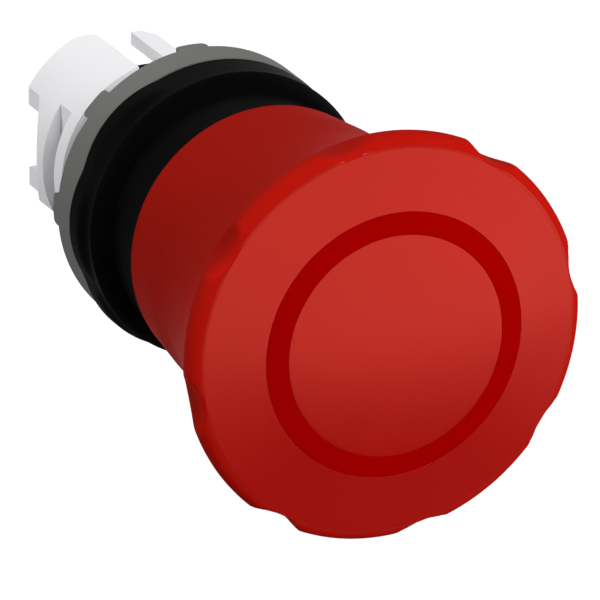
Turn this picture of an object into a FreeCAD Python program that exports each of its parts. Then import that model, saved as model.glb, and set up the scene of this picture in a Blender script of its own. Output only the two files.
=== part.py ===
import FreeCAD, Part
import math
import os
import re
import Sketcher

# Head of a panel-mounted emergency stop button, 40 mm mushroom, push to latch and pull to release.
# Millimetres. The push axis is Y: the button faces -Y, and the panel's front face is the plane Y = 0.
# The origin is on the push axis in that plane, and +Z is up with the key in the panel's notch.

doc = FreeCAD.newDocument("emergencyStopButton")

# name, size and meaning of each driving dimension
drivingSizes = [
    ("travel", 5.2, "push stroke from released to latched"),
    ("pushGap", 0.8, "between the skirt's mouth and the bezel when latched"),
    ("slideGap", 0.05, "radial clearance of the plunger in its bores"),
    ("seatGap", 0.04, "clearance between pieces that sit in each other"),
    ("stopGap", 0.1, "clearance at the end stops"),
    # mushroom
    ("capRadius", 20.0, "outside of the rim"),
    ("rimRoll", 0.95, "outside of the rim to its front edge, radially"),
    ("rimEdge", 0.2, "front edge of the rim to the front disc, radially"),
    ("faceThickness", 2.1, "front disc at its edge"),
    ("domeRadius", 80.0, "crown of the front disc"),
    ("domeHollowRadius", 65.5, "hollow behind the front disc"),
    ("ledgeWidth", 2.0, "ledge that carries the front disc"),
    ("rimRounding", 1.37, "front rounding of the rim"),
    ("rimDepth", 1.3, "front edge to the widest place"),
    ("rimBack", 1.6, "widest place to the start of the flare"),
    ("rimBackDrop", 0.4, "radius lost behind the widest place"),
    ("rimBackRounding", 3.4, "rounding behind the widest place"),
    ("flareRounding", 48.0, "hollow curve of the flare"),
    ("skirtTaper", 0.7, "open end of the skirt to the flare, radially"),
    ("skirtWall", 0.7, "skirt at its open end"),
    ("neckLength", 5.9, "open end to the flare"),
    ("skirtLength", 28.2, "open end to the front edge"),
    ("skirtBore", 12.9, "inside of the skirt"),
    ("webThickness", 2.5, "web inside the mushroom"),
    ("webDepth", 11.9, "open end to the back of the web"),
    ("headHollow", 13.4, "hollow of the head at the web"),
    ("gripCount", 8, "grip scoops around the rim"),
    ("gripRadius", 5.5, "rounding of a grip scoop"),
    ("gripDepth", 0.95, "depth of a grip scoop"),
    ("gripTurn", 11.0, "turn of the first scoop from +X"),
    ("ringInner", 10.9, "marker ring"),
    ("ringOuter", 13.04, "marker ring"),
    ("ringDepth", 0.8, "marker ring"),
    # plunger and what is screwed to it
    ("flangeLip", 0.7, "flange outside the spring's middle"),
    ("flangeThickness", 2.0, "flange under the web"),
    ("spigotRadius", 4.0, "spigot in the web"),
    ("spigotLength", 1.2, "spigot in the web"),
    ("capScrewRadius", 2.0, "M4 screw"),
    ("capScrewLength", 11.0, "M4 screw under its washer"),
    ("capHeadRadius", 3.8, "M4 pan head"),
    ("capHeadHeight", 2.4, "M4 pan head"),
    ("capWasherRadius", 4.5, "M4 washer"),
    ("capWasherThickness", 0.8, "M4 washer"),
    ("driveWidth", 2.5, "hexagon socket of the M4 screw"),
    ("driveDepth", 1.4, "hexagon socket of the M4 screw"),
    ("grooveDepth", 0.8, "latch grooves of the plunger"),
    ("tailLength", 3.6, "shaft behind the latch cover"),
    ("stopRingRoom", 0.8, "stop ring to the sleeve's bore, radially"),
    ("stopRingThickness", 0.8, "stop ring on the plunger"),
    ("stopGrooveDepth", 0.7, "groove of the stop ring"),
    # pusher
    ("pusherRoom", 0.84, "end of the pusher bar to the barrel's bore"),
    ("pusherWidth", 3.0, "half the width of the pusher bar"),
    ("pusherHubWall", 1.0, "hub of the pusher around the shaft"),
    ("pusherHubDepth", 1.6, "hub around the shaft's end"),
    ("pusherThickness", 3.6, "pusher bar"),
    ("pusherScrewRadius", 1.5, "M3 screw"),
    ("pusherScrewLength", 8.0, "M3 screw under its washer"),
    ("pusherHeadRadius", 2.8, "M3 pan head"),
    ("pusherHeadHeight", 1.8, "M3 pan head"),
    ("pusherWasherRadius", 3.2, "M3 washer"),
    ("pusherWasherThickness", 0.5, "M3 washer"),
    ("pusherRecess", 2.4, "recess for the screw's head"),
    ("pusherDriveWidth", 2.0, "hexagon socket of the M3 screw"),
    ("pusherDriveDepth", 1.1, "hexagon socket of the M3 screw"),
    # bezel
    ("collarGap", 0.2, "collar inside the skirt"),
    ("collarWall", 1.3, "collar inside the skirt"),
    ("slopeWidth", 1.7, "collar to the bezel's widest place, radially"),
    ("slopeHeight", 1.6, "collar's root to the bezel's widest place"),
    ("crestHeight", 9.0, "widest place in front of the panel"),
    ("bezelSlope", 2.6, "rounding of the bezel's front slope"),
    ("bandTaper", 0.05, "widest place to the bezel's rear edge, radially"),
    ("bezelWeb", 3.5, "web between collar and sleeve"),
    ("webFront", 9.0, "web's front face in front of the panel"),
    ("tubeWall", 1.9, "guide tube around the plunger"),
    ("sleeveWall", 1.1, "sleeve through the panel"),
    ("sleeveLip", 1.52, "sleeve behind the latch's retainer"),
    ("bumpCount", 6, "bumps around the bezel, a tooth's pitch apart"),
    ("bumpHalfTurn", 16.0, "half of a bump, degrees"),
    ("bumpRounding", 7.5, "outside of a bump"),
    ("bumpRoot", 1.2, "depth of a bump's root in the bezel"),
    ("bumpLength", 3.0, "bump along the push axis"),
    # seals
    ("gasketEdge", 0.1, "outside of the gasket beyond the bezel's rear edge"),
    ("gasketGap", 0.2, "inside of the gasket around the barrel"),
    ("gasketThickness", 3.6, "gasket without its lip"),
    ("lipHeight", 1.4, "sealing lip and teeth"),
    ("lipRoom", 0.3, "inside of the sealing lip beyond the key's top"),
    ("lipWidth", 0.7, "sealing lip"),
    ("toothCount", 8, "teeth around the gasket"),
    ("toothWidth", 3.2, "gasket tooth"),
    ("toothDepth", 1.2, "gasket tooth, radially"),
    ("toothRounding", 0.5, "corners of a gasket tooth"),
    ("toothDrop", 0.15, "top of a tooth inside the gasket's outside"),
    ("sealThickness", 2.2, "seal around the plunger"),
    ("sealWidth", 1.1, "seal around the plunger, radially"),
    ("sealCapThickness", 0.8, "ring that keeps the seal in"),
    # bayonet body
    ("bayonetRadius", 11.0, "barrel for the 22.3 mm panel hole"),
    ("barrelWall", 2.26, "wall of the barrel and its shells"),
    ("barrelRelief", 0.5, "depth of the relieved stretch of the barrel"),
    ("pilotStart", 0.1, "front end of the barrel behind the panel's face"),
    ("pilotLength", 2.1, "full-round pilot in the panel hole"),
    ("shellStart", 5.5, "front ends of the two shells"),
    ("shellEnd", 17.0, "rear ends of the two shells"),
    ("shellFrom", 105.0, "turn of a shell's upper edge"),
    ("shellTo", 205.0, "turn of a shell's lower edge"),
    ("shellRounding", 2.4, "rear corners of the shells"),
    ("slotStart", 7.4, "front wall of the locking slot"),
    ("slotWidth", 2.65, "locking slot"),
    ("slotWall", 0.31, "wall left under the locking slot"),
    ("flatWall", 0.66, "wall left under the flats at the rear end"),
    ("flatLength", 2.7, "flats at the rear end"),
    ("rampLength", 2.8, "ramp from the barrel down to the flats, along the push axis"),
    ("notchTop", 3.9, "notch in a flat"),
    ("notchBottom", 2.5, "notch in a flat"),
    ("keyWidth", 2.0, "key for the panel's notch"),
    ("keyHeight", 0.9, "top of the key above the barrel"),
    ("keyThickness", 1.3, "key"),
    ("keyEnd", 11.5, "rear end of the key"),
    ("keyChamferWidth", 0.9, "cut corner of the key"),
    ("keyChamferLength", 1.9, "cut corner of the key"),
    # latch
    ("clipThickness", 0.8, "spring clip that grips the plunger"),
    ("clipWidth", 1.0, "arm of a spring clip"),
    ("clipReach", 3.4, "free end of a clip from the axis"),
    ("clipPitch", 2.0, "from one clip to the other"),
    ("clipFront", 4.4, "middle of the first clip behind the panel"),
    ("clipPlay", 0.1, "between clip and groove"),
    ("latchWall", 2.56, "outside of the latch housing to the sliding shaft"),
    ("pocketWall", 0.46, "wall around the clips' pocket"),
    ("coverThickness", 1.6, "cover behind the clips"),
    ("retainerThickness", 0.8, "ring that keeps the latch in"),
    ("retainerBite", 0.4, "depth of its groove in the sleeve"),
    ("retainerWidth", 0.7, "ring that keeps the latch in, radially"),
    ("ringOpening", 50.0, "opening of the two snap rings, degrees"),
    # return spring
    ("springRoom", 2.1, "spring's middle to the collar's bore"),
    ("springWire", 1.1, "wire of the return spring"),
    ("springTurns", 5.5, "turns of the return spring"),
    ("springWasherThickness", 0.6, "washer under the return spring"),
]

# places along and around the push axis that follow from the sizes
derivedPlaces = [
    ("bezelRoot", "crestHeight + slopeHeight"),
    ("mouthRadius", "skirtBore + skirtWall"),
    ("neckRadius", "mouthRadius + skirtTaper"),
    ("mouthY", "-(bezelRoot + pushGap + travel)"),
    ("lipRadius", "capRadius - rimRoll"),
    ("faceRadius", "lipRadius - rimEdge"),
    ("faceY", "mouthY - skirtLength"),
    ("rimY", "faceY + rimDepth"),
    ("flareY", "rimY + rimBack"),
    ("neckY", "mouthY - neckLength"),
    ("webBackY", "mouthY - webDepth"),
    ("webFrontY", "webBackY - webThickness"),
    ("discBackY", "faceY + faceThickness"),
    ("discRadius", "faceRadius - seatGap"),
    ("domeCentreY", "faceY + sqrt(domeRadius^2 - discRadius^2)"),
    ("flangeBackY", "webBackY + flangeThickness"),
    ("tubeFrontY", "flangeBackY + travel + stopGap"),
    ("collarFrontY", "webBackY + travel + pushGap"),
    ("collarRadius", "skirtBore - collarGap"),
    ("collarBore", "collarRadius - collarWall"),
    ("crestRadius", "collarRadius + slopeWidth"),
    ("bandRadius", "crestRadius - bandTaper"),
    ("gasketRadius", "bandRadius + gasketEdge"),
    ("gasketBore", "bayonetRadius + gasketGap"),
    ("keyTop", "bayonetRadius + keyHeight"),
    ("lipInner", "keyTop + lipRoom"),
    ("springRadius", "collarBore - springRoom"),
    ("flangeRadius", "springRadius + flangeLip"),
    ("barrelBore", "bayonetRadius - barrelWall"),
    ("sleeveRadius", "barrelBore - seatGap"),
    ("sleeveBore", "sleeveRadius - sleeveWall"),
    ("housingRadius", "sleeveBore - seatGap"),
    ("plungerRadius", "housingRadius - latchWall"),
    ("grooveRadius", "plungerRadius - grooveDepth"),
    ("stopGrooveRadius", "plungerRadius - stopGrooveDepth"),
    ("boreRadius", "plungerRadius + slideGap"),
    ("tubeRadius", "boreRadius + tubeWall"),
    ("bezelWebBackY", "bezelWeb - webFront"),
    ("bezelBackY", "-(lipHeight + gasketThickness)"),
    ("bayonetNeck", "bayonetRadius - barrelRelief"),
    ("slotFloor", "barrelBore + slotWall"),
    ("flatDepth", "barrelBore + flatWall"),
    ("pocketRadius", "housingRadius - pocketWall"),
    ("stopRingRadius", "sleeveBore - stopRingRoom"),
    ("clipGap", "grooveRadius + clipPlay"),
    ("clipRearY", "clipFront + clipPitch"),
    ("pocketY", "clipFront - clipThickness / 2 - seatGap"),
    ("coverY", "clipRearY + clipThickness / 2 + seatGap"),
    ("coverBackY", "coverY + coverThickness"),
    ("retainerBackY", "coverBackY + seatGap + retainerThickness"),
    ("sleeveLength", "retainerBackY + sleeveLip"),
    ("stopRingY", "coverBackY + stopGap"),
    ("plungerEndY", "coverBackY + tailLength"),
    ("pusherHub", "plungerRadius + pusherHubWall"),
    ("pusherLength", "barrelBore - pusherRoom"),
    ("pusherFaceY", "plungerEndY + seatGap"),
    ("pusherBackY", "pusherFaceY + pusherThickness"),
    ("washerY", "pusherBackY - pusherRecess"),
    ("headY", "washerY + pusherWasherThickness"),
]


def makeSheet(name, rows):
    sheet = doc.addObject("Spreadsheet::Sheet", name)
    for line, row in enumerate(rows, start=1):
        sheet.set("A%d" % line, row[0])
        sheet.set("B%d" % line, row[1])
        sheet.setAlias("B%d" % line, row[0])
        if len(row) == 3:
            sheet.set("C%d" % line, row[2])
    return sheet


sheetOf = {row[0]: "sizes" for row in drivingSizes}
sheetOf.update({row[0]: "places" for row in derivedPlaces})


def bound(formula):
    # the same formula with each size named in full, such as sizes.capRadius
    def fullName(word):
        name = word.group()
        return "%s.%s" % (sheetOf[name], name) if name in sheetOf else name
    return re.sub(r"[A-Za-z]\w*", fullName, formula)


makeSheet("sizes", [(name, str(size), note) for name, size, note in drivingSizes])
places = makeSheet("places", [(name, "=" + bound(formula)) for name, formula in derivedPlaces])
doc.recompute()


def amount(formula):
    return float(places.evalExpression(bound(formula)))


# sketches

def newSketch(body, plane, offset="0"):
    # offset is measured along the plane's own normal: +Z for XY_Plane, -Y for XZ_Plane
    origin = [item for item in body.Origin.OriginFeatures if item.Role == plane][0]
    sketch = body.newObject("Sketcher::SketchObject", body.Name + "_sketch")
    sketch.AttachmentSupport = [(origin, "")]
    sketch.MapMode = "FlatFace"
    sketch.setExpression("AttachmentOffset.Base.z", bound(offset))
    return sketch


def bindConstraint(sketch, kind, where, formula):
    index = sketch.addConstraint(Sketcher.Constraint(kind, *where, amount(formula)))
    name = "%s%d" % (kind.lower(), index)
    sketch.renameConstraint(index, name)
    sketch.setExpression("Constraints." + name, bound(formula))


def drawOutline(sketch, corners):
    # corners are (x, y) or (x, y, bend): bend is the radius of the arc from this corner to the next,
    # and it starts with + where the arc turns left on the way and with - where it turns right
    points = [FreeCAD.Vector(amount(corner[0]), amount(corner[1]), 0) for corner in corners]
    starts = []
    ends = []
    for number, corner in enumerate(corners):
        here = points[number]
        there = points[(number + 1) % len(points)]
        if len(corner) == 2:
            geometry = sketch.addGeometry(Part.LineSegment(here, there))
            starts.append((geometry, 1))
            ends.append((geometry, 2))
            continue
        side = 1 if corner[2][0] == "+" else -1
        radius = amount(corner[2][1:])
        half = (there - here) / 2
        across = FreeCAD.Vector(-half.y, half.x, 0).normalize()
        height = math.sqrt(radius ** 2 - half.Length ** 2)
        centre = here + half + across * height * side
        angles = [math.atan2(point.y - centre.y, point.x - centre.x) for point in (here, there)]
        circle = Part.Circle(centre, FreeCAD.Vector(0, 0, 1), radius)
        geometry = sketch.addGeometry(Part.ArcOfCircle(circle, *angles[::side]))
        starts.append((geometry, 1 if side > 0 else 2))
        ends.append((geometry, 2 if side > 0 else 1))
        bindConstraint(sketch, "Radius", (geometry,), corner[2][1:])
    for number, corner in enumerate(corners):
        sketch.addConstraint(Sketcher.Constraint("Coincident", *ends[number - 1], *starts[number]))
        bindConstraint(sketch, "DistanceX", (-1, 1, *starts[number]), corner[0])
        bindConstraint(sketch, "DistanceY", (-1, 1, *starts[number]), corner[1])


def drawCircle(sketch, radius, across="0", up="0"):
    centre = FreeCAD.Vector(amount(across), amount(up), 0)
    circle = Part.Circle(centre, FreeCAD.Vector(0, 0, 1), amount(radius))
    geometry = sketch.addGeometry(circle)
    bindConstraint(sketch, "Radius", (geometry,), radius)
    bindConstraint(sketch, "DistanceX", (-1, 1, geometry, 3), across)
    bindConstraint(sketch, "DistanceY", (-1, 1, geometry, 3), up)


def box(left, right, low, high):
    return [(left, low), (right, low), (right, high), (left, high)]


def sector(inner, outer, fromTurn, toTurn, arcs=1):
    # a piece of a ring between two turns, in degrees from +X towards +Z, with so many arcs on each side
    turns = ["(%s) + ((%s) - (%s)) * %d / %d" % (fromTurn, toTurn, fromTurn, step, arcs)
             for step in range(arcs + 1)]
    corners = []
    for radius, way, order in ((outer, "+", turns), (inner, "-", turns[::-1])):
        for step, turn in enumerate(order):
            corner = ("(%s) * cos((%s) * 1deg)" % (radius, turn),
                      "(%s) * sin((%s) * 1deg)" % (radius, turn))
            corners.append(corner if step == arcs else corner + (way + radius,))
    return corners


# features

def newBody(label):
    body = doc.addObject("PartDesign::Body", label)
    body.Label = label
    return body


def turned(label, *outlines):
    # a body turned about the push axis from outlines of (radius, Y)
    body = newBody(label)
    for corners in outlines:
        sketch = newSketch(body, "XY_Plane")
        drawOutline(sketch, corners)
        turn = body.newObject("PartDesign::Revolution", label + "_turned")
        turn.Profile = sketch
        turn.ReferenceAxis = (sketch, ["V_Axis"])
        turn.Angle = 360
    doc.recompute()
    return body


def ring(label, inner, outer, frontY, backY):
    return turned(label, box(inner, outer, frontY, backY))


def swept(body, kind, sketch, length, towardsBack):
    # a Pad or Pocket along Y from a sketch on XZ_Plane, whose normal points to the front
    feature = body.newObject("PartDesign::" + kind, "%s_%s" % (body.Name, kind.lower()))
    feature.Profile = sketch
    feature.setExpression("Length", bound(length))
    feature.Reversed = towardsBack if kind == "Pad" else not towardsBack
    return feature


def padAlong(body, corners, frontY, backY):
    sketch = newSketch(body, "XZ_Plane", "-(%s)" % frontY)
    drawOutline(sketch, corners)
    return swept(body, "Pad", sketch, "(%s) - (%s)" % (backY, frontY), True)


def pocketAlong(body, corners, frontY, backY):
    sketch = newSketch(body, "XZ_Plane", "-(%s)" % frontY)
    drawOutline(sketch, corners)
    return swept(body, "Pocket", sketch, "(%s) - (%s)" % (backY, frontY), True)


def padUp(body, corners, low, high):
    sketch = newSketch(body, "XY_Plane", low)
    drawOutline(sketch, corners)
    pad = body.newObject("PartDesign::Pad", body.Name + "_pad")
    pad.Profile = sketch
    pad.setExpression("Length", bound("(%s) - (%s)" % (high, low)))
    return pad


def pocketUp(body, corners, low, high):
    sketch = newSketch(body, "XY_Plane", low)
    drawOutline(sketch, corners)
    pocket = body.newObject("PartDesign::Pocket", body.Name + "_pocket")
    pocket.Profile = sketch
    pocket.setExpression("Length", bound("(%s) - (%s)" % (high, low)))
    pocket.Reversed = True
    return pocket


def around(body, features, count, span="360"):
    # the same features again at equal turns about the push axis, from +X towards -Z
    axis = [item for item in body.Origin.OriginFeatures if item.Role == "Y_Axis"][0]
    doc.recompute()
    pattern = body.newObject("PartDesign::PolarPattern", body.Name + "_around")
    pattern.Originals = features
    pattern.Axis = (axis, [""])
    pattern.setExpression("Angle", bound(span))
    pattern.setExpression("Occurrences", bound(count))
    body.Tip = pattern
    doc.recompute()
    return pattern


def filleted(body, radius, wanted):
    # rounds the edges that wanted(edge) picks
    doc.recompute()
    base = body.Tip
    names = ["Edge%d" % (number + 1) for number, edge in enumerate(base.Shape.Edges) if wanted(edge)]
    fillet = body.newObject("PartDesign::Fillet", body.Name + "_rounded")
    fillet.Base = (base, names)
    fillet.setExpression("Radius", bound(radius))
    body.Tip = fillet
    doc.recompute()
    return fillet


# mushroom

def makeCapShell():
    body = turned("cap_shell", [
        ("skirtBore", "mouthY"),
        ("mouthRadius", "mouthY"),
        ("neckRadius", "neckY", "+flareRounding"),
        ("capRadius - rimBackDrop", "flareY", "-rimBackRounding"),
        ("capRadius", "rimY", "-rimRounding"),
        ("lipRadius", "faceY"),
        ("faceRadius", "faceY"),
        ("faceRadius", "discBackY"),
        ("faceRadius - ledgeWidth", "discBackY"),
        ("headHollow", "webFrontY"),
        ("capScrewRadius + 4 * seatGap", "webFrontY"),
        ("capScrewRadius + 4 * seatGap", "webBackY - spigotLength - seatGap"),
        ("spigotRadius + seatGap", "webBackY - spigotLength - seatGap"),
        ("spigotRadius + seatGap", "webBackY"),
        ("skirtBore", "webBackY"),
    ])
    sketch = newSketch(body, "XZ_Plane", "-mouthY")
    middle = "(capRadius - gripDepth + gripRadius)"
    drawCircle(sketch, "gripRadius", middle + " * cos(gripTurn * 1deg)", middle + " * sin(gripTurn * 1deg)")
    scoop = swept(body, "Pocket", sketch, "skirtLength + stopGap", False)
    around(body, [scoop], "gripCount")
    return body


def dome(radius, drop="0"):
    # Y of the front disc's crown at a radius, or so much behind it
    return "domeCentreY - sqrt(domeRadius^2 - (%s)^2) + %s" % (radius, drop)


def makeCapFace():
    ringFloor = "ringDepth + seatGap"
    grooveInner = "ringInner - seatGap"
    grooveOuter = "ringOuter + seatGap"
    return turned("cap_face", [
        ("0", dome("0", "faceThickness")),
        ("0", "domeCentreY - domeRadius", "+domeRadius"),
        (grooveInner, dome(grooveInner)),
        (grooveInner, dome(grooveInner, ringFloor)),
        (grooveOuter, dome(grooveInner, ringFloor)),
        (grooveOuter, dome(grooveOuter), "+domeRadius"),
        ("discRadius", "faceY"),
        ("discRadius", "discBackY - seatGap"),
        ("faceRadius - ledgeWidth - seatGap", "discBackY - seatGap", "-domeHollowRadius"),
    ])


def makeMarkerRing():
    return turned("marker_ring", [
        ("ringInner", dome("ringInner", "ringDepth")),
        ("ringInner", dome("ringInner"), "+domeRadius"),
        ("ringOuter", dome("ringOuter")),
        ("ringOuter", dome("ringInner", "ringDepth")),
    ])


def hexagonSocket(body, width, frontY, depth, towardsBack):
    sketch = newSketch(body, "XZ_Plane", "-(%s)" % frontY)
    across = "%s / 2 / cos(30deg)" % width
    drawOutline(sketch, [("%s * cos(%ddeg)" % (across, turn), "%s * sin(%ddeg)" % (across, turn))
                         for turn in range(0, 360, 60)])
    swept(body, "Pocket", sketch, depth, towardsBack)
    doc.recompute()


def makeCapScrew():
    underHead = "webFrontY - capWasherThickness"
    body = turned("cap_screw", [
        ("0", underHead + " + capScrewLength"),
        ("0", underHead + " - capHeadHeight"),
        ("capHeadRadius", underHead + " - capHeadHeight"),
        ("capHeadRadius", underHead),
        ("capScrewRadius", underHead),
        ("capScrewRadius", underHead + " + capScrewLength"),
    ])
    hexagonSocket(body, "driveWidth", underHead + " - capHeadHeight", "driveDepth", True)
    return body


# plunger and what it carries

def makePlunger():
    groove = "clipThickness / 2 + clipPlay"
    pilot = "capScrewRadius + seatGap"
    pilotEnd = "webFrontY - capWasherThickness + capScrewLength + stopGap"
    rearPilot = "pusherScrewRadius + seatGap"
    rearPilotEnd = "headY - pusherScrewLength - stopGap"
    corners = [
        (pilot, pilotEnd),
        (pilot, "webBackY - spigotLength"),
        ("spigotRadius", "webBackY - spigotLength"),
        ("spigotRadius", "webBackY"),
        ("flangeRadius", "webBackY"),
        ("flangeRadius", "flangeBackY"),
        ("plungerRadius", "flangeBackY"),
    ]
    for middle in ("clipFront - travel", "clipRearY - travel", "clipFront", "clipRearY"):
        corners += [
            ("plungerRadius", "%s - (%s)" % (middle, groove)),
            ("grooveRadius", "%s - (%s)" % (middle, groove)),
            ("grooveRadius", "%s + %s" % (middle, groove)),
            ("plungerRadius", "%s + %s" % (middle, groove)),
        ]
    corners += [
        ("plungerRadius", "stopRingY - seatGap"),
        ("stopGrooveRadius", "stopRingY - seatGap"),
        ("stopGrooveRadius", "stopRingY + stopRingThickness + seatGap"),
        ("plungerRadius", "stopRingY + stopRingThickness + seatGap"),
        ("plungerRadius", "plungerEndY"),
        (rearPilot, "plungerEndY"),
        (rearPilot, rearPilotEnd),
        ("0", rearPilotEnd),
        ("0", pilotEnd),
    ]
    return turned("plunger", corners)


def snapRing(label, inner, outer, frontY, backY):
    body = newBody(label)
    padAlong(body, sector(inner, outer, "270 + ringOpening / 2", "630 - ringOpening / 2", 3), frontY, backY)
    doc.recompute()
    return body


def makePusher():
    body = newBody("contact_pusher")
    hubFront = "pusherFaceY - pusherHubDepth"
    hub = newSketch(body, "XZ_Plane", "-(%s)" % hubFront)
    drawCircle(hub, "pusherHub")
    swept(body, "Pad", hub, "pusherHubDepth + pusherThickness", True)
    bar = box("-pusherLength", "pusherLength", "-pusherWidth", "pusherWidth")
    padAlong(body, bar, "pusherFaceY", "pusherBackY")
    bores = (("plungerRadius + seatGap", hubFront, "pusherHubDepth"),
             ("pusherScrewRadius + 2 * seatGap", hubFront, "pusherHubDepth + pusherThickness"),
             ("pusherWasherRadius + 2 * seatGap", "washerY", "pusherRecess"))
    for radius, frontY, depth in bores:
        sketch = newSketch(body, "XZ_Plane", "-(%s)" % frontY)
        drawCircle(sketch, radius)
        swept(body, "Pocket", sketch, depth, True)
    doc.recompute()
    return body


def makePusherScrew():
    body = turned("pusher_screw", [
        ("0", "headY + pusherHeadHeight"),
        ("0", "headY - pusherScrewLength"),
        ("pusherScrewRadius", "headY - pusherScrewLength"),
        ("pusherScrewRadius", "headY"),
        ("pusherHeadRadius", "headY"),
        ("pusherHeadRadius", "headY + pusherHeadHeight"),
    ])
    hexagonSocket(body, "pusherDriveWidth", "headY + pusherHeadHeight", "pusherDriveDepth", False)
    return body


# bezel and seals

def makeBezel():
    sealRadius = "plungerRadius + sealWidth"
    sealBack = "tubeFrontY + sealCapThickness + sealThickness + seatGap"
    grooveFront = "coverBackY + seatGap / 2"
    grooveBack = "retainerBackY + seatGap / 2"
    body = turned("bezel", [
        ("boreRadius", "bezelWebBackY"),
        ("boreRadius", sealBack),
        (sealRadius + " + seatGap", sealBack),
        (sealRadius + " + seatGap", "tubeFrontY + seatGap"),
        ("tubeRadius", "tubeFrontY + seatGap"),
        ("tubeRadius", "-webFront"),
        ("collarBore", "-webFront"),
        ("collarBore", "collarFrontY"),
        ("collarRadius", "collarFrontY"),
        ("collarRadius", "-bezelRoot", "+bezelSlope"),
        ("crestRadius", "-crestHeight"),
        ("bandRadius", "bezelBackY"),
        ("sleeveRadius", "bezelBackY"),
        ("sleeveRadius", "sleeveLength"),
        ("sleeveBore", "sleeveLength"),
        ("sleeveBore", grooveBack),
        ("sleeveBore + retainerBite", grooveBack),
        ("sleeveBore + retainerBite", grooveFront),
        ("sleeveBore", grooveFront),
        ("sleeveBore", "bezelWebBackY"),
    ])
    edge = "(bandRadius - seatGap) * cos(bumpHalfTurn * 1deg)"
    half = "(bandRadius - seatGap) * sin(bumpHalfTurn * 1deg)"
    bump = padAlong(body, [
        (edge, "-" + half, "+bumpRounding"),
        (edge, half),
        (edge + " - bumpRoot", half),
        (edge + " - bumpRoot", "-" + half),
    ], "bezelBackY - bumpLength", "bezelBackY")
    around(body, [bump], "bumpCount", "(bumpCount - 1) * 360 / toothCount")
    return body


def makeGasket():
    body = turned("gasket", [
        ("gasketBore", "bezelBackY"),
        ("gasketRadius", "bezelBackY"),
        ("gasketRadius", "-lipHeight"),
        ("lipInner + lipWidth", "-lipHeight"),
        ("lipInner + lipWidth", "0"),
        ("lipInner", "0"),
        ("lipInner", "-lipHeight"),
        ("gasketBore", "-lipHeight"),
    ])
    half = "toothWidth / 2"
    soft = "toothRounding"
    top = "gasketRadius - toothDrop"
    tooth = padUp(body, [
        ("-" + half, "-2 * lipHeight"),
        (half, "-2 * lipHeight"),
        (half, "-" + soft, "+" + soft),
        (half + " - " + soft, "0"),
        ("-%s + %s" % (half, soft), "0", "+" + soft),
        ("-" + half, "-" + soft),
    ], top + " - toothDepth", top)
    around(body, [tooth], "toothCount")
    return body


# bayonet body

def makeBayonet():
    body = turned("bayonet_body", [
        ("barrelBore", "pilotStart"),
        ("bayonetRadius", "pilotStart"),
        ("bayonetRadius", "pilotStart + pilotLength"),
        ("bayonetNeck", "pilotStart + pilotLength"),
        ("bayonetNeck", "shellStart"),
        ("barrelBore", "shellStart"),
    ])
    wall = sector("barrelBore", "bayonetRadius", "shellFrom", "shellTo")
    shell = padAlong(body, wall, "shellStart", "shellEnd")
    far = "2 * bayonetRadius"
    outsideSlot = box("-" + far, "-slotFloor", "-" + far, far)
    slot = pocketAlong(body, outsideSlot, "slotStart", "slotStart + slotWidth")
    flatFront = "shellEnd - flatLength"
    flatBack = "shellEnd + seatGap"
    flat = pocketUp(body, [
        ("-" + far, flatFront + " - rampLength"),
        ("-bayonetRadius", flatFront + " - rampLength"),
        ("-flatDepth", flatFront),
        ("-flatDepth", flatBack),
        ("-" + far, flatBack),
    ], "-bayonetRadius", "bayonetRadius")
    notch = pocketAlong(body, box("-" + far, "-barrelBore / 2", "-notchBottom", "notchTop"),
                        flatFront, flatBack)
    around(body, [shell, slot, flat, notch], "2")
    half = "keyWidth / 2"
    padUp(body, [
        ("-" + half, "pilotStart"),
        (half, "pilotStart"),
        (half, "keyEnd - keyChamferLength"),
        (half + " - keyChamferWidth", "keyEnd"),
        ("-" + half, "keyEnd"),
    ], "keyTop - keyThickness", "keyTop")
    keyRoot = "(barrelBore + bayonetNeck) / 2"
    padUp(body, box("-" + half, half, "pilotStart", "shellStart"), keyRoot, "keyTop")
    endTurns = [math.radians(amount(turn)) for turn in ("shellFrom", "shellFrom + 180")]

    def isRearCorner(edge):
        middle = (edge.Vertexes[0].Point + edge.Vertexes[-1].Point) / 2
        onEnd = all(abs(vertex.Y - amount("shellEnd")) < 0.01 for vertex in edge.Vertexes)
        onTurn = any(abs(math.cos(turn) * middle.z - math.sin(turn) * middle.x) < 0.01
                     for turn in endTurns)
        return onEnd and onTurn

    filleted(body, "shellRounding", isRearCorner)
    return body


# latch

def makeLatchHousing():
    return turned("latch_housing", [
        ("boreRadius", "bezelWebBackY"),
        ("housingRadius", "bezelWebBackY"),
        ("housingRadius", "coverY"),
        ("pocketRadius", "coverY"),
        ("pocketRadius", "pocketY"),
        ("boreRadius", "pocketY"),
    ])


def makeClip(label, middleY, upwards):
    # a flat U that straddles the plunger's groove, with its bow above or below
    body = newBody(label)
    outwards, inwards = ("+", "-") if upwards else ("-", "+")
    bow = "" if upwards else "-"
    free = "-clipReach" if upwards else "clipReach"
    outer = "(clipGap + clipWidth)"
    corners = [
        (outer, free),
        (outer, "0", outwards + outer),
        ("0", bow + outer, outwards + outer),
        ("-" + outer, "0"),
        ("-" + outer, free),
        ("-clipGap", free),
        ("-clipGap", "0", inwards + "clipGap"),
        ("0", bow + "clipGap", inwards + "clipGap"),
        ("clipGap", "0"),
        ("clipGap", free),
    ]
    padAlong(body, corners, "%s - clipThickness / 2" % middleY, "%s + clipThickness / 2" % middleY)
    doc.recompute()
    return body


# return spring

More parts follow.
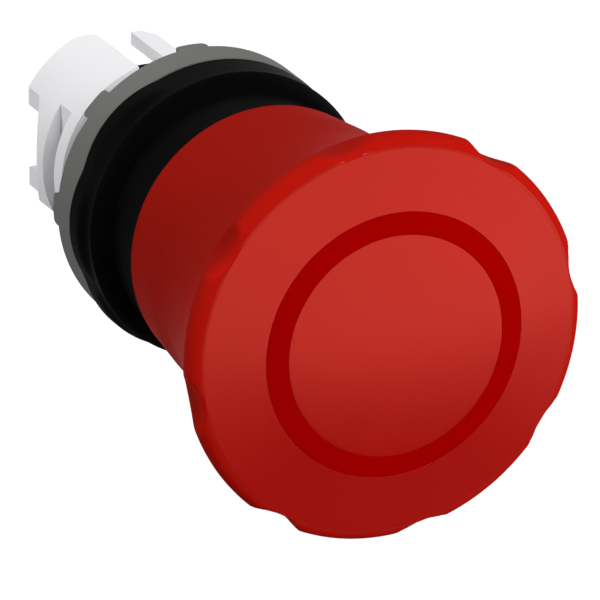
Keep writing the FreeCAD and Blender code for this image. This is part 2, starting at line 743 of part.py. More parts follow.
def makeSpring():
    washerFront = "-(webFront + springWasherThickness + seatGap)"
    coilLength = "(-(flangeBackY) - webFront - springWasherThickness - 2 * seatGap - springWire)"
    path = doc.addObject("Part::Helix", "return_spring_path")
    path.setExpression("Radius", bound("springRadius"))
    path.setExpression("Height", bound(coilLength))
    path.setExpression("Pitch", bound(coilLength + " / springTurns"))
    path.setExpression("Placement.Base.y", bound(washerFront + " - springWire / 2"))
    path.Placement.Rotation = FreeCAD.Rotation(FreeCAD.Vector(1, 0, 0), 90)
    wire = doc.addObject("Part::Circle", "return_spring_wire")
    wire.setExpression("Radius", bound("springWire / 2"))
    wire.setExpression("Placement.Base.x", bound("springRadius"))
    wire.setExpression("Placement.Base.y", bound(washerFront + " - springWire / 2"))
    spring = doc.addObject("Part::Sweep", "return_spring")
    spring.Sections = [wire]
    spring.Spine = path
    spring.Solid = True
    spring.Frenet = True
    return spring


underCapHead = "webFrontY - capWasherThickness"
sealFront = "tubeFrontY + seatGap + sealCapThickness"
sealRadius = "(plungerRadius + sealWidth)"
retainerRadius = "(sleeveBore + retainerBite - seatGap)"

pieces = [
    makeCapShell(),
    makeCapFace(),
    makeMarkerRing(),
    makeCapScrew(),
    ring("cap_washer", "capScrewRadius + 3 * seatGap", "capWasherRadius", underCapHead, "webFrontY"),
    makePlunger(),
    snapRing("plunger_stop_ring", "(stopGrooveRadius + seatGap)", "stopRingRadius",
             "stopRingY", "stopRingY + stopRingThickness"),
    makePusher(),
    makePusherScrew(),
    ring("pusher_washer", "pusherScrewRadius + 3 * seatGap", "pusherWasherRadius", "washerY", "headY"),
    makeBezel(),
    makeGasket(),
    makeBayonet(),
    ring("plunger_seal", "plungerRadius + slideGap / 2", sealRadius,
         sealFront, sealFront + " + sealThickness"),
    ring("seal_retainer", "boreRadius", sealRadius, "tubeFrontY + seatGap", sealFront),
    makeLatchHousing(),
    makeClip("latch_clip_front", "clipFront", True),
    makeClip("latch_clip_rear", "clipRearY", False),
    ring("latch_cover", "boreRadius", "housingRadius", "coverY", "coverBackY"),
    snapRing("latch_retainer", "(%s - retainerWidth)" % retainerRadius, retainerRadius,
             "coverBackY + seatGap", "retainerBackY"),
    ring("spring_washer", "tubeRadius + 4 * seatGap", "collarBore - 4 * seatGap",
         "-(webFront + springWasherThickness)", "-webFront"),
    makeSpring(),
]

doc.recompute()
for item in doc.Objects:
    if {"Invalid", "Error"} & set(item.State):
        raise RuntimeError("%s failed: %s" % (item.Name, item.State))
for piece in pieces:
    if piece.Shape.isNull() or not piece.Shape.isValid() or not piece.Shape.Solids:
        raise RuntimeError("%s has no valid solid" % piece.Label)

os.makedirs("parts", exist_ok=True)
for piece in pieces:
    piece.Shape.exportStep(os.path.join("parts", piece.Label + ".step"))
    print("%-20s %d solid(s), %.1f mm3" % (piece.Label, len(piece.Shape.Solids), piece.Shape.Volume))
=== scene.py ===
import math

import bmesh
import bpy
from mathutils import Matrix, Vector


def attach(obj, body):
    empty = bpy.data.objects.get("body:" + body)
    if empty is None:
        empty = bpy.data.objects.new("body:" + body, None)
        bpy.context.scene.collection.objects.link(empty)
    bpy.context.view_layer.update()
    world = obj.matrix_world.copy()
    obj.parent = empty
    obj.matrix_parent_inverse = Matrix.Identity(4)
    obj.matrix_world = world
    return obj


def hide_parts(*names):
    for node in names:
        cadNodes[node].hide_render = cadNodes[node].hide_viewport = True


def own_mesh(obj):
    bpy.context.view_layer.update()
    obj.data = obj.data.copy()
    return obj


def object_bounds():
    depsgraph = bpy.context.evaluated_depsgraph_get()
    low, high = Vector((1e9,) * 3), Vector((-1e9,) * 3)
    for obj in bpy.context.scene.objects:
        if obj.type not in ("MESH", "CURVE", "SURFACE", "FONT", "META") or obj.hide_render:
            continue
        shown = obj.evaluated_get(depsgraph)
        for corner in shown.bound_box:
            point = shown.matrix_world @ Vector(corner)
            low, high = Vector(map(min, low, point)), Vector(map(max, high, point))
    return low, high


# Looks of an emergency stop button's head: red mushroom, black bezel, grey gasket, white bayonet barrel.
# The push axis is Y, the button faces -Y and the panel's front face is the plane Y = 0.
# Piece sizes below are in millimetres, turns in degrees from +X towards +Z.

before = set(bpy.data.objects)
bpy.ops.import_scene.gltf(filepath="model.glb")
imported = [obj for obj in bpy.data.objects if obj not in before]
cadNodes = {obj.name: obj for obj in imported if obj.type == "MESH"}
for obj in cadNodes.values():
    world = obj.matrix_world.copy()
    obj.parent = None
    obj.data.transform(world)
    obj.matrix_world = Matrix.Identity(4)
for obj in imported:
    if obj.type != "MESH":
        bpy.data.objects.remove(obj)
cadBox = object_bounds()
mm = 0.001
# a length in millimetres that counts as nothing
nothing = 1e-6
print("frame loaded:", len(cadNodes), "nodes")


# outlines of turned pieces

def bendPoints(start, end, bend, stepLength=0.4):
    # points of an arc between two outline points, without its ends: a bend above 0 turns left on the way
    half = (end - start) / 2
    side = 1 if bend > 0 else -1
    across = Vector((-half.y, half.x)).normalized() * side
    centre = start + half + across * math.sqrt(bend ** 2 - half.length_squared)
    first = start - centre
    turn = 2 * math.asin(half.length / abs(bend)) * side
    count = max(3, round(abs(turn * bend) / stepLength))
    return [centre + Matrix.Rotation(turn * step / count, 2) @ first for step in range(1, count)]


def roundedCorner(before, corner, after, rounding, steps=4, most=0.48):
    # the corner as a small arc that touches both of its sides, and takes up no more than most of each
    back = before - corner
    ahead = after - corner
    half = back.angle(ahead) / 2
    reach = min(rounding / math.tan(half), back.length * most, ahead.length * most)
    start = corner + back.normalized() * reach
    end = corner + ahead.normalized() * reach
    points = []
    for step in range(steps + 1):
        share = step / steps
        points.append(start * (1 - share) ** 2 + corner * 2 * share * (1 - share) + end * share ** 2)
    return points


def outlinePoints(corners):
    # a corner is (radius, y), with a rounding after that, and then the bend of the line to the next
    marks = []
    for number, corner in enumerate(corners):
        here = Vector(corner[:2])
        there = Vector(corners[(number + 1) % len(corners)][:2])
        marks.append((here, corner[2] if len(corner) > 2 else 0))
        if len(corner) > 3:
            marks += [(point, 0) for point in bendPoints(here, there, corner[3])]
    points = []
    for number, (point, rounding) in enumerate(marks):
        before = marks[number - 1][0]
        after = marks[(number + 1) % len(marks)][0]
        if rounding:
            points += roundedCorner(before, point, after, rounding)
        else:
            points.append(point)
    return points


def evenTurns(count=240):
    return [360 * step / count for step in range(count)]


def finerTurns(middles, reach, fineStep, coarseStep):
    # turns all round, closer together within reach of each of the middles
    turns = set()
    for number, middle in enumerate(middles):
        following = middles[(number + 1) % len(middles)] + (360 if number + 1 == len(middles) else 0)
        fine = round(2 * reach / fineStep)
        turns.update(round(middle - reach + fineStep * step, 4) for step in range(fine + 1))
        span = following - middle - 2 * reach
        coarse = max(1, round(span / coarseStep))
        turns.update(round(middle + reach + span * step / coarse, 4) for step in range(1, coarse))
    return sorted(turns)


def turnedMesh(name, corners, turns, shape=None):
    # a closed body turned about the push axis; shape(radius, y, turn) may move a point
    points = outlinePoints(corners)
    mesh = bmesh.new()
    rows = []
    for point in points:
        if point.x < nothing:
            rows.append([mesh.verts.new((0, point.y * mm, 0))])
            continue
        row = []
        for turn in turns:
            radius, y = shape(point.x, point.y, turn) if shape else (point.x, point.y)
            angle = math.radians(turn)
            across = radius * math.cos(angle) * mm
            up = radius * math.sin(angle) * mm
            row.append(mesh.verts.new((across, y * mm, up)))
        rows.append(row)
    for number, row in enumerate(rows):
        following = rows[(number + 1) % len(rows)]
        if len(row) == 1 and len(following) == 1:
            continue
        for step in range(len(turns)):
            beside = (step + 1) % len(turns)
            if len(row) == 1:
                mesh.faces.new((row[0], following[beside], following[step]))
            elif len(following) == 1:
                mesh.faces.new((row[step], row[beside], following[0]))
            else:
                mesh.faces.new((row[step], row[beside], following[beside], following[step]))
    return meshObject(name, mesh)


def meshObject(name, mesh, sharpAngle=40):
    bmesh.ops.recalc_face_normals(mesh, faces=mesh.faces[:])
    data = bpy.data.meshes.new(name)
    mesh.to_mesh(data)
    mesh.free()
    piece = bpy.data.objects.new(name, data)
    bpy.context.scene.collection.objects.link(piece)
    for face in data.polygons:
        face.use_smooth = True
    data.set_sharp_from_angle(angle=math.radians(sharpAngle))
    evenNormals(piece)
    return piece


def evenNormals(piece, weight=90):
    # flat faces shade flat up to their rounded edges
    modifier = piece.modifiers.new("even normals", "WEIGHTED_NORMAL")
    modifier.keep_sharp = True
    modifier.weight = weight


def softEdges(piece, width, angle=35, gap=0.002, flatness=0.5):
    # breaks the sharp edges of a moulded or stamped piece
    weld = piece.modifiers.new("weld", "WELD")
    weld.merge_threshold = gap * mm
    flat = piece.modifiers.new("whole faces", "DECIMATE")
    flat.decimate_type = "DISSOLVE"
    flat.angle_limit = math.radians(flatness)
    bevel = piece.modifiers.new("broken edges", "BEVEL")
    bevel.width = width * mm
    bevel.segments = 2
    bevel.limit_method = "ANGLE"
    bevel.angle_limit = math.radians(angle)
    bevel.harden_normals = False
    evenNormals(piece)


def softMin(first, second, softness):
    blend = max(softness - abs(first - second), 0) / softness
    return min(first, second) - blend * blend * softness / 4


def smoothStep(low, high, value):
    share = min(1, max(0, (value - low) / (high - low)))
    return share * share * (3 - 2 * share)


# materials

def newMaterial(name, colour, roughness, **settings):
    material = bpy.data.materials.new(name)
    material.use_nodes = True
    shader = material.node_tree.nodes["Principled BSDF"]
    shader.inputs["Base Color"].default_value = (*colour, 1)
    shader.inputs["Roughness"].default_value = roughness
    for socket, value in settings.items():
        shader.inputs[socket.replace("_", " ")].default_value = value
    return material


def addNode(material, kind, **settings):
    node = material.node_tree.nodes.new(kind)
    for setting, value in settings.items():
        setattr(node, setting, value)
    return node


def linkNodes(material, fromSocket, toSocket):
    material.node_tree.links.new(fromSocket, toSocket)


def noiseNode(material, scale, detail=4, roughness=0.5):
    # noise in the object's own metres, with so many waves to the metre
    place = addNode(material, "ShaderNodeTexCoord")
    noise = addNode(material, "ShaderNodeTexNoise")
    noise.inputs["Scale"].default_value = scale
    noise.inputs["Detail"].default_value = detail
    noise.inputs["Roughness"].default_value = roughness
    linkNodes(material, place.outputs["Object"], noise.inputs["Vector"])
    return noise


def varyColour(material, noise, darker, lighter, ends=(0.25, 0.75)):
    # the base colour wanders between two shades, which it reaches at these ends of the noise
    shader = material.node_tree.nodes["Principled BSDF"]
    ramp = addNode(material, "ShaderNodeValToRGB")
    ramp.color_ramp.interpolation = "EASE"
    for element, end, shade in zip(ramp.color_ramp.elements, ends, (darker, lighter)):
        element.position = end
        element.color = (*shade, 1)
    linkNodes(material, noise.outputs["Fac"], ramp.inputs["Fac"])
    linkNodes(material, ramp.outputs["Color"], shader.inputs["Base Color"])


def varyRoughness(material, noise, smoother, rougher, ends=(0.3, 0.7)):
    shader = material.node_tree.nodes["Principled BSDF"]
    spread = addNode(material, "ShaderNodeMapRange")
    spread.inputs["From Min"].default_value = ends[0]
    spread.inputs["From Max"].default_value = ends[1]
    spread.inputs["To Min"].default_value = smoother
    spread.inputs["To Max"].default_value = rougher
    linkNodes(material, noise.outputs["Fac"], spread.inputs["Value"])
    linkNodes(material, spread.outputs["Result"], shader.inputs["Roughness"])


def addGrain(material, noise, depth):
    # the texture of the mould or the rubber, so many millimetres deep
    shader = material.node_tree.nodes["Principled BSDF"]
    bump = addNode(material, "ShaderNodeBump")
    bump.inputs["Strength"].default_value = 1
    bump.inputs["Distance"].default_value = depth * mm
    linkNodes(material, noise.outputs["Fac"], bump.inputs["Height"])
    linkNodes(material, bump.outputs["Normal"], shader.inputs["Normal"])


def scaled(colour, factor):
    return tuple(min(1, channel * factor) for channel in colour)


def mouldedPlastic(name, colour, roughness, grain, cloud=0.04, patch=0.04, **settings):
    # plastic with a faint cloudiness, uneven gloss and the fine texture of its mould
    material = newMaterial(name, colour, roughness, **settings)
    clouds = noiseNode(material, scale=60, detail=2)
    varyColour(material, clouds, scaled(colour, 1 - cloud), scaled(colour, 1 + cloud))
    patches = noiseNode(material, scale=120, detail=2)
    varyRoughness(material, patches, roughness - patch, roughness + patch)
    addGrain(material, noiseNode(material, scale=5200, detail=3), grain)
    return material


def paintLightAlong(material, startY, endY, colour):
    # painted light: the base colour goes over into another along the push axis, from one depth to the
    # other
    shader = material.node_tree.nodes["Principled BSDF"]
    place = addNode(material, "ShaderNodeTexCoord")
    split = addNode(material, "ShaderNodeSeparateXYZ")
    share = addNode(material, "ShaderNodeMapRange", interpolation_type="SMOOTHSTEP")
    share.inputs["From Min"].default_value = startY * mm
    share.inputs["From Max"].default_value = endY * mm
    blend = addNode(material, "ShaderNodeMixRGB")
    blend.inputs["Color2"].default_value = (*colour, 1)
    linkNodes(material, shader.inputs["Base Color"].links[0].from_socket, blend.inputs["Color1"])
    linkNodes(material, place.outputs["Object"], split.inputs["Vector"])
    linkNodes(material, split.outputs["Y"], share.inputs["Value"])
    linkNodes(material, share.outputs["Result"], blend.inputs["Fac"])
    linkNodes(material, blend.outputs["Color"], shader.inputs["Base Color"])


def turnedSteel(name, colour, roughness, smoother=0.08, rougher=0.1, grain=0.002):
    material = newMaterial(name, colour, roughness, Metallic=1.0)
    patches = noiseNode(material, scale=900, detail=6)
    varyRoughness(material, patches, roughness - smoother, roughness + rougher)
    addGrain(material, noiseNode(material, scale=2600, detail=4), grain)
    return material


# plastics: name, colour, roughness, grain in millimetres, then how cloudy and how patchy they are
finishes = {
    "face red": mouldedPlastic("polished red plastic", (0.415, 0.001, 0.0003), 0.24, 0.0004, 0.02, 0.01,
                               Metallic=0.14, Specular_IOR_Level=0.19, Specular_Tint=(1, 0.88, 0.62, 1)),
    # painted sheen: the signal red's green and blue stand in for a faint whitish gloss, since its own
    # gloss is nearly off
    "red": mouldedPlastic("signal red plastic, painted sheen", (0.31, 0.0085, 0.005), 0.45, 0.0012,
                          Metallic=0.01, Specular_IOR_Level=0.001, Specular_Tint=(1, 0.4, 0.3, 1)),
    "ring": mouldedPlastic("dark red plastic", (0.36, 0.0002, 0.0002), 0.6, 0.002,
                           Specular_IOR_Level=0.0),
    "black": mouldedPlastic("black plastic", (0.0016, 0.0016, 0.0018), 0.5, 0.002,
                            Specular_IOR_Level=0.006),
    "rubber": mouldedPlastic("grey rubber", (0.157, 0.157, 0.149), 0.7, 0.006,
                             Specular_IOR_Level=0.03),
    "white": mouldedPlastic("white plastic", (0.83, 0.83, 0.85), 0.48, 0.002, 0.02,
                            Specular_IOR_Level=0.1),
    "ivory": mouldedPlastic("natural acetal", (0.7, 0.67, 0.6), 0.4, 0.002, 0.02),
    "seal": mouldedPlastic("black rubber", (0.012, 0.012, 0.012), 0.65, 0.005),
    "steel": turnedSteel("zinc-plated steel", (0.62, 0.61, 0.6), 0.32),
    "spring": turnedSteel("spring steel", (0.5, 0.5, 0.51), 0.28),
}
# painted light: the moulded red gets lighter over the rim, towards the face, as if the rim were lit more
# there
paintLightAlong(finishes["red"], startY=-42, endY=-44.8, colour=(0.5, 0.008, 0.004))
print("materials ready:", len(finishes))


def dress(piece, finish):
    piece.data.materials.clear()
    piece.data.materials.append(finishes[finish])


def standFor(piece, node, finish, body):
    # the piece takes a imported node's place
    dress(piece, finish)
    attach(piece, body)
    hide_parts(node)


# mushroom

mushroom = {
    "skirtBore": 12.9, "mouthRadius": 13.6, "mouthY": -16.6, "mouthRounding": 0.22,
    "neckRadius": 14.3, "neckY": -22.5, "flareBend": 48.0,
    "flareRadius": 19.6, "flareY": -41.9, "rimBend": -3.4,
    "rimRadius": 20.0, "rimY": -43.5, "rimRoll": -1.37,
    "lipRadius": 19.05, "lipY": -44.735, "faceRadius": 18.85, "faceY": -44.8, "faceRounding": 0.012,
    "ledgeRadius": 16.85, "ledgeY": -42.7,
    "webRadius": 13.4, "webFrontY": -31.0, "webBackY": -28.5, "webRounding": 0.5, "skirtRounding": 0.3,
    "screwHole": 2.16, "spigotHole": 4.04, "spigotY": -29.74,
    "scoopCount": 8, "scoopTurn": 11.0, "scoopRadius": 5.5, "scoopDepth": 0.95, "scoopEdge": 0.28,
    "lipFacing": 0.94, "lipInside": 0.99,
}


def scoopRadiusAt(turn):
    # how far from the axis the nearest grip scoop starts at this turn
    pitch = 360 / mushroom["scoopCount"]
    off = math.radians((turn - mushroom["scoopTurn"] + pitch / 2) % pitch - pitch / 2)
    middle = mushroom["rimRadius"] - mushroom["scoopDepth"] + mushroom["scoopRadius"]
    reach = mushroom["scoopRadius"] ** 2 - (middle * math.sin(off)) ** 2
    return middle * math.cos(off) - math.sqrt(reach) if reach > 0 else mushroom["rimRadius"] * 2


def scooped(radius, y, turn):
    if radius < mushroom["lipRadius"] - mushroom["scoopEdge"] or y < mushroom["faceY"] + nothing:
        return radius, y
    return softMin(radius, scoopRadiusAt(turn), mushroom["scoopEdge"]), y


def makeMushroomShell():
    size = mushroom
    corners = [
        (size["skirtBore"], size["mouthY"], size["mouthRounding"]),
        (size["mouthRadius"], size["mouthY"], size["mouthRounding"]),
        (size["neckRadius"], size["neckY"], 0, size["flareBend"]),
        (size["flareRadius"], size["flareY"], 0, size["rimBend"]),
        (size["rimRadius"], size["rimY"], 0, size["rimRoll"]),
        (size["lipRadius"], size["lipY"]),
        (size["faceRadius"], size["faceY"], size["faceRounding"]),
        (size["faceRadius"], size["ledgeY"]),
        (size["ledgeRadius"], size["ledgeY"]),
        (size["webRadius"], size["webFrontY"], size["webRounding"]),
        (size["screwHole"], size["webFrontY"]),
        (size["screwHole"], size["spigotY"]),
        (size["spigotHole"], size["spigotY"]),
        (size["spigotHole"], size["webBackY"]),
        (size["skirtBore"], size["webBackY"], size["skirtRounding"]),
    ]
    scoops = [size["scoopTurn"] + 360 / size["scoopCount"] * step for step in range(size["scoopCount"])]
    turns = finerTurns(scoops, reach=10, fineStep=0.5, coarseStep=1.8)
    shell = turnedMesh("mushroomShell", corners, turns, scooped)
    standFor(shell, "cap_shell", "red", "plunger_unit")
    # the lip beside the face is polished like it
    shell.data.materials.append(finishes["face red"])
    inside = size["faceRadius"] * mm * size["lipInside"]
    for part in shell.data.polygons:
        if part.normal.y < -size["lipFacing"] and part.center.xz.length > inside:
            part.material_index = 1


face = {
    "radius": 18.838, "edgeY": -44.8, "backY": -42.74, "crown": 80.0,
    "hollowRadius": 16.81, "hollowBend": 65.5, "middleThickness": 2.1,
    "ringInner": 10.9, "ringOuter": 13.04, "ringDepth": 0.8, "ringGap": 0.012,
    "ringRounding": 0.02, "edgeRounding": 0.012,
}


def crownY(radius):
    centre = face["edgeY"] + math.sqrt(face["crown"] ** 2 - face["radius"] ** 2)
    return centre - math.sqrt(face["crown"] ** 2 - radius ** 2)


def makeFace():
    inner = face["ringInner"] - face["ringGap"]
    outer = face["ringOuter"] + face["ringGap"]
    floorY = crownY(inner) + face["ringDepth"] + face["ringGap"]
    corners = [
        (0, crownY(0) + face["middleThickness"]),
        (0, crownY(0), 0, face["crown"]),
        (inner, crownY(inner), face["ringRounding"]),
        (inner, floorY),
        (outer, floorY),
        (outer, crownY(outer), face["ringRounding"]),
        (face["radius"], face["edgeY"], face["edgeRounding"]),
        (face["radius"], face["backY"]),
        (face["hollowRadius"], face["backY"], 0, -face["hollowBend"]),
    ]
    disc = turnedMesh("mushroomFace", corners, evenTurns())
    standFor(disc, "cap_face", "face red", "plunger_unit")


def makeMarkRing():
    inner = face["ringInner"]
    outer = face["ringOuter"]
    floorY = crownY(inner) + face["ringDepth"]
    corners = [
        (inner, floorY),
        (inner, crownY(inner), face["ringRounding"], face["crown"]),
        (outer, crownY(outer), face["ringRounding"]),
        (outer, floorY),
    ]
    ring = turnedMesh("markRing", corners, evenTurns())
    standFor(ring, "marker_ring", "ring", "plunger_unit")


makeMushroomShell()
makeFace()
makeMarkRing()
print("mushroom made")


# bezel

bezel = {
    "bore": 5.05, "webBackY": -5.5, "webFrontY": -9.0, "sealY": -18.16, "sealRadius": 6.14,
    "tubeRadius": 6.95, "tubeFrontY": -21.16,
    "collarBore": 11.4, "collarRadius": 12.7, "collarFrontY": -22.5,
    "rootY": -10.6, "slopeBend": 2.6, "crestRadius": 14.4, "crestY": -9.0,
    "bandRadius": 14.35, "bandRowPitch": 0.3, "bandRows": range(2, 13), "backY": -5.0,
    "sleeveRadius": 8.7, "sleeveBore": 7.6, "sleeveEndY": 10.8,
    "grooveRadius": 8.0, "grooveFrontY": 8.46, "grooveBackY": 9.3,
    "bumpCount": 6, "bumpPitch": 45.0, "bumpHalfTurn": 22.4, "bumpRounding": 10.2,
    "bumpStartY": -8.4, "bumpFullY": -6.6, "bumpInside": 0.3,
    "edgeRounding": 0.2, "rootRounding": 0.25, "crestRounding": 0.3, "seatRounding": 0.12,
}


def bumpHeightAt(turn):
    # how far the nearest bump stands out of the band at this turn
    pitch = bezel["bumpPitch"]
    nearest = round(-turn / pitch) % round(360 / pitch)
    if nearest >= bezel["bumpCount"]:
        return 0
    off = (turn + pitch / 2) % pitch - pitch / 2
    if abs(off) >= bezel["bumpHalfTurn"]:
        return 0
    band = bezel["bandRadius"]
    rounding = bezel["bumpRounding"]
    halfTurn = math.radians(bezel["bumpHalfTurn"])
    halfChord = band * math.sin(halfTurn)
    middle = band * math.cos(halfTurn) - math.sqrt(rounding ** 2 - halfChord ** 2)
    angle = math.radians(off)
    reach = middle * math.cos(angle) + math.sqrt(rounding ** 2 - (middle * math.sin(angle)) ** 2)
    return max(0, reach - band)


def bumped(radius, y, turn):
    # only the outside of the band in front of the panel has bumps
    if radius < bezel["bandRadius"] - bezel["bumpInside"] or y > 0:
        return radius, y
    return radius + bumpHeightAt(turn) * smoothStep(bezel["bumpStartY"], bezel["bumpFullY"], y), y


def makeBezel():
    size = bezel
    # rows of points along the band let the bumps fade out
    band = [(size["bandRadius"], size["crestY"] + size["bandRowPitch"] * row) for row in size["bandRows"]]
    corners = [
        (size["bore"], size["webBackY"]),
        (size["bore"], size["sealY"]),
        (size["sealRadius"], size["sealY"]),
        (size["sealRadius"], size["tubeFrontY"]),
        (size["tubeRadius"], size["tubeFrontY"], size["edgeRounding"]),
        (size["tubeRadius"], size["webFrontY"]),
        (size["collarBore"], size["webFrontY"]),
        (size["collarBore"], size["collarFrontY"], size["edgeRounding"]),
        (size["collarRadius"], size["collarFrontY"], size["edgeRounding"]),
        (size["collarRadius"], size["rootY"], size["rootRounding"], size["slopeBend"]),
        (size["crestRadius"], size["crestY"], size["crestRounding"]),
        *band,
        (size["bandRadius"], size["backY"], size["seatRounding"]),
        (size["sleeveRadius"], size["backY"]),
        (size["sleeveRadius"], size["sleeveEndY"], size["seatRounding"]),
        (size["sleeveBore"], size["sleeveEndY"], size["edgeRounding"]),
        (size["sleeveBore"], size["grooveBackY"]),
        (size["grooveRadius"], size["grooveBackY"]),
        (size["grooveRadius"], size["grooveFrontY"]),
        (size["sleeveBore"], size["grooveFrontY"]),
        (size["sleeveBore"], size["webBackY"]),
    ]
    body = turnedMesh("bezelBody", corners, evenTurns(), bumped)
    standFor(body, "bezel", "black", "operator_base")


# gasket

gasket = {
    "bore": 11.2, "radius": 14.45, "frontY": -5.0, "backY": -1.4,
    "lipInner": 12.2, "lipOuter": 12.9,
    "toothCount": 8, "toothInner": 13.1, "toothOuter": 14.3, "toothWidth": 3.2, "toothRounding": 0.5,
    "toothSlope": 0.02, "footTurn": 0.08, "evenTurns": 144, "edgeSteps": 6, "edgeShare": 0.9999,
    "rubberRounding": 0.15, "rimRounding": 0.12,
}


def toothed(radius, y, turn):
    # the rear face rises into teeth between their inner and outer radius
    slack = gasket["toothSlope"] / 2
    inTooth = gasket["toothInner"] + slack < radius < gasket["toothOuter"] - slack
    if not inTooth or y < gasket["backY"] - slack:
        return radius, y
    pitch = 360 / gasket["toothCount"]
    off = abs((turn + pitch / 2) % pitch - pitch / 2)
    along = math.radians(off) * gasket["toothOuter"]
    half = gasket["toothWidth"] / 2
    if along > half:
        return radius, y
    into = max(0, along - half + gasket["toothRounding"])
    drop = gasket["toothRounding"] - math.sqrt(gasket["toothRounding"] ** 2 - into ** 2)
    return radius, -drop


def makeGasket():
    size = gasket
    corners = [
        (size["bore"], size["frontY"]),
        (size["radius"], size["frontY"], size["rubberRounding"]),
        (size["radius"], size["backY"], size["rimRounding"]),
        (size["toothOuter"], size["backY"]),
        (size["toothOuter"] - size["toothSlope"], size["backY"]),
        (size["toothInner"] + size["toothSlope"], size["backY"]),
        (size["toothInner"], size["backY"]),
        (size["lipOuter"], size["backY"]),
        (size["lipOuter"], 0, size["rubberRounding"]),
        (size["lipInner"], 0, size["rubberRounding"]),
        (size["lipInner"], size["backY"]),
        (size["bore"], size["backY"], size["rubberRounding"]),
    ]
    # turns that follow a tooth's foot and its rounded edge, and end just short of its side
    halfTurn = math.degrees(size["toothWidth"] / 2 / size["toothOuter"])
    edge = math.degrees(size["toothRounding"] / size["toothOuter"])
    offs = [halfTurn + size["footTurn"]]
    for step in range(size["edgeSteps"] + 1):
        share = math.sin(math.radians(90 / size["edgeSteps"] * step))
        offs.append(halfTurn - edge + edge * share * size["edgeShare"])
    turns = set(evenTurns(size["evenTurns"]))
    for number in range(size["toothCount"]):
        middle = 360 / size["toothCount"] * number
        turns.update(round((middle + side * off) % 360, 4) for side in (-1, 1) for off in offs)
    body = turnedMesh("gasketBody", corners, sorted(turns), toothed)
    standFor(body, "gasket", "rubber", "operator_base")


makeBezel()
makeGasket()
print("bezel and gasket made")


# return spring, which shortens when the mushroom is pushed

spring = {"radius": 9.3, "wire": 1.1, "backY": -9.64, "frontY": -26.46, "turns": 5.5, "deadTurns": 0.9,
          "deadPitch": 1.02, "stepsPerTurn": 40, "wireSides": 12}


def makeSpring():
    size = spring
    around = size["wireSides"]
    whole = size["turns"] + 2 * size["deadTurns"]
    steps = size["stepsPerTurn"] * round(whole)
    firstY = size["backY"] - size["wire"] / 2
    lastY = size["frontY"] + size["wire"] / 2
    closed = size["wire"] * size["deadTurns"] * size["deadPitch"]
    path = []
    for step in range(steps + 1):
        turn = whole * step / steps
        if turn < size["deadTurns"]:
            y = firstY - closed * turn / size["deadTurns"]
        elif turn > whole - size["deadTurns"]:
            y = lastY + closed * (whole - turn) / size["deadTurns"]
        else:
            share = (turn - size["deadTurns"]) / size["turns"]
            y = firstY - closed + (lastY - firstY + 2 * closed) * share
        angle = 2 * math.pi * turn
        path.append(Vector((size["radius"] * math.cos(angle), y, size["radius"] * math.sin(angle))))
    mesh = bmesh.new()
    rings = []
    for point in path:
        outward = Vector((point.x, 0, point.z)).normalized()
        ring = []
        for side in range(around):
            angle = 2 * math.pi * side / around
            off = outward * math.cos(angle) + Vector((0, 1, 0)) * math.sin(angle)
            ring.append(mesh.verts.new((point + off * size["wire"] / 2) * mm))
        rings.append(ring)
    for ring, following in zip(rings, rings[1:]):
        for side in range(around):
            beside = (side + 1) % around
            mesh.faces.new((ring[side], ring[beside], following[beside], following[side]))
    mesh.faces.new(rings[0])
    mesh.faces.new(rings[-1])
    coil = meshObject("returnSpring", mesh)
    # a round wire needs no evened normals
    coil.modifiers.clear()
    standFor(coil, "return_spring", "spring", "operator_base")
    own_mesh(coil)


makeSpring()
print("spring made")


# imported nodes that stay: their finish, and the width of their broken edges

keptNodes = {
    "bayonet_body": ("white", 0.12), "contact_pusher": ("ivory", 0.12), "plunger": ("ivory", 0.1),
    "latch_housing": ("ivory", 0.1), "latch_cover": ("black", 0.1), "seal_retainer": ("black", 0.06),
    "plunger_seal": ("seal", 0.1), "cap_screw": ("steel", 0.15), "cap_washer": ("steel", 0.06),
    "pusher_screw": ("steel", 0.12), "pusher_washer": ("steel", 0.05), "spring_washer": ("steel", 0.05),
    "plunger_stop_ring": ("spring", 0.05), "latch_retainer": ("spring", 0.05),
    "latch_clip_front": ("spring", 0.06), "latch_clip_rear": ("spring", 0.06),
}

for nodeName, (finish, edgeWidth) in keptNodes.items():
    dress(cadNodes[nodeName], finish)
    softEdges(cadNodes[nodeName], edgeWidth)
print("packed nodes dressed:", len(keptNodes))


# floor, world, lamps and camera

# the drop is in millimetres, the floor's size and reaches are in metres
studio = {"floorDrop": 450.0, "floorSize": 6.0, "floorShade": 0.55, "floorRoughness": 0.9,
          "nearWhite": 0.03, "farWhite": 0.95, "nearReach": 0.85, "farReach": 1.0, "worldLight": 0.04}


def seenDirectly(tree):
    # 1 for what the camera sees, also by way of gloss or glass, and 0 for light that falls on the object
    rays = tree.nodes.new("ShaderNodeLightPath")
    total = rays.outputs["Is Camera Ray"]
    for name in ("Is Glossy Ray", "Is Transmission Ray"):
        either = tree.nodes.new("ShaderNodeMath")
        either.operation = "MAXIMUM"
        tree.links.new(total, either.inputs[0])
        tree.links.new(rays.outputs[name], either.inputs[1])
        total = either.outputs["Value"]
    return total


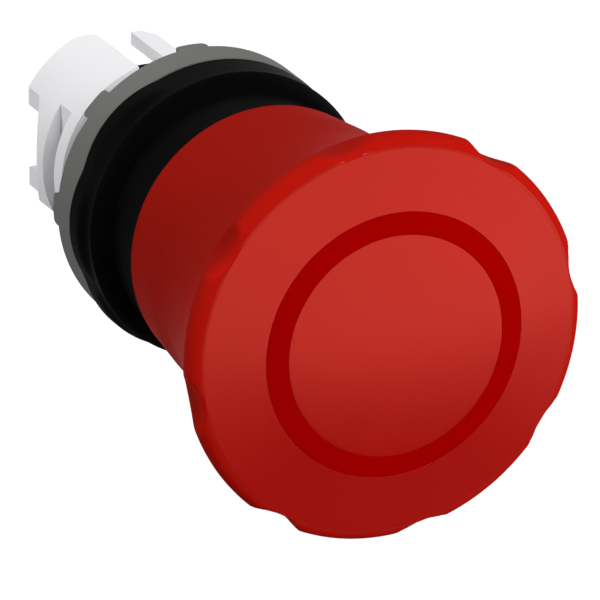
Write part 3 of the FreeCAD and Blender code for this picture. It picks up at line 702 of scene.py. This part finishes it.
def makeFloor():
    mesh = bmesh.new()
    half = studio["floorSize"] / 2
    height = cadBox[0].z - studio["floorDrop"] * mm
    corners = ((-half, -half), (half, -half), (half, half), (-half, half))
    mesh.faces.new([mesh.verts.new((x, y, height)) for x, y in corners])
    data = bpy.data.meshes.new("floor")
    mesh.to_mesh(data)
    mesh.free()
    floor = bpy.data.objects.new("floor", data)
    bpy.context.scene.collection.objects.link(floor)
    shade = (studio["floorShade"],) * 3
    material = newMaterial("pale floor", shade, studio["floorRoughness"], Specular_IOR_Level=0.0)
    # its white grows away from the object, where the lamps reach less
    place = addNode(material, "ShaderNodeTexCoord")
    reach = addNode(material, "ShaderNodeVectorMath", operation="LENGTH")
    white = addNode(material, "ShaderNodeMapRange")
    white.inputs["From Min"].default_value = studio["nearReach"]
    white.inputs["From Max"].default_value = studio["farReach"]
    white.inputs["To Min"].default_value = studio["nearWhite"]
    white.inputs["To Max"].default_value = studio["farWhite"]
    seen = addNode(material, "ShaderNodeMath", operation="MULTIPLY")
    linkNodes(material, place.outputs["Object"], reach.inputs[0])
    linkNodes(material, reach.outputs["Value"], white.inputs["Value"])
    linkNodes(material, white.outputs["Result"], seen.inputs[0])
    linkNodes(material, seenDirectly(material.node_tree), seen.inputs[1])
    shader = material.node_tree.nodes["Principled BSDF"]
    shader.inputs["Emission Color"].default_value = (1, 1, 1, 1)
    linkNodes(material, seen.outputs["Value"], shader.inputs["Emission Strength"])
    data.materials.append(material)


def makeWorld():
    world = bpy.data.worlds.new("studio")
    bpy.context.scene.world = world
    world.use_nodes = True
    background = world.node_tree.nodes["Background"]
    background.inputs["Color"].default_value = (1, 1, 1, 1)
    strength = world.node_tree.nodes.new("ShaderNodeMapRange")
    strength.inputs["To Min"].default_value = studio["worldLight"]
    strength.inputs["To Max"].default_value = 1
    world.node_tree.links.new(seenDirectly(world.node_tree), strength.inputs["Value"])
    world.node_tree.links.new(strength.outputs["Result"], background.inputs["Strength"])


lamps = {
    # name: (azimuth from the front, elevation, distance, width, height, power in watts), metres
    "panel": (25, -7.5, 0.6, 0.8, 0.34, 1.65),
    "high": (11, 44, 0.8, 0.5, 0.45, 4.6),
    "right": (90, 15, 0.8, 0.6, 0.6, 1.4),
    "left": (-116, 27, 0.8, 0.4, 0.5, 4.0),
    "back": (175, 50, 0.8, 0.6, 0.6, 1.7),
}


def makeLamps():
    middle = (cadBox[0] + cadBox[1]) / 2
    for name, (azimuth, elevation, distance, width, height, power) in lamps.items():
        turn = math.radians(azimuth)
        rise = math.radians(elevation)
        outward = Vector((math.sin(turn) * math.cos(rise),
                          -math.cos(turn) * math.cos(rise), math.sin(rise)))
        lamp = bpy.data.lights.new(name, "AREA")
        lamp.shape = "RECTANGLE"
        lamp.size = width
        lamp.size_y = height
        lamp.energy = power
        holder = bpy.data.objects.new(name, lamp)
        holder.location = middle + outward * distance
        holder.rotation_mode = "QUATERNION"
        holder.rotation_quaternion = outward.to_track_quat("Z", "Y")
        holder.visible_camera = False
        bpy.context.scene.collection.objects.link(holder)


# the camera stands to the left and above, far off, and looks past the middle of the mushroom
camera = {"azimuth": -24.8, "elevation": 21.4, "distance": 1072.9, "lens": 696.2, "sensor": 36.0,
          "centre": (0, -46.4, 0), "aside": 8.904, "below": 4.29, "nearest": 10.0, "farthest": 20000.0}


def makeCamera():
    azimuth = math.radians(camera["azimuth"])
    elevation = math.radians(camera["elevation"])
    back = Vector((math.sin(azimuth) * math.cos(elevation),
                   -math.cos(azimuth) * math.cos(elevation), math.sin(elevation)))
    right = Vector((math.cos(azimuth), math.sin(azimuth), 0))
    up = back.cross(right)
    aim = Vector(camera["centre"]) - right * camera["aside"] + up * camera["below"]
    data = bpy.data.cameras.new("camera")
    data.lens = camera["lens"]
    data.sensor_width = camera["sensor"]
    data.clip_start = camera["nearest"] * mm
    data.clip_end = camera["farthest"] * mm
    holder = bpy.data.objects.new("camera", data)
    holder.location = (aim + back * camera["distance"]) * mm
    holder.rotation_mode = "QUATERNION"
    holder.rotation_quaternion = Matrix((right, up, back)).transposed().to_quaternion()
    bpy.context.scene.collection.objects.link(holder)
    bpy.context.scene.camera = holder


makeFloor()
makeWorld()
makeLamps()
makeCamera()
bpy.context.scene.view_settings.view_transform = "Standard"
print("studio ready")
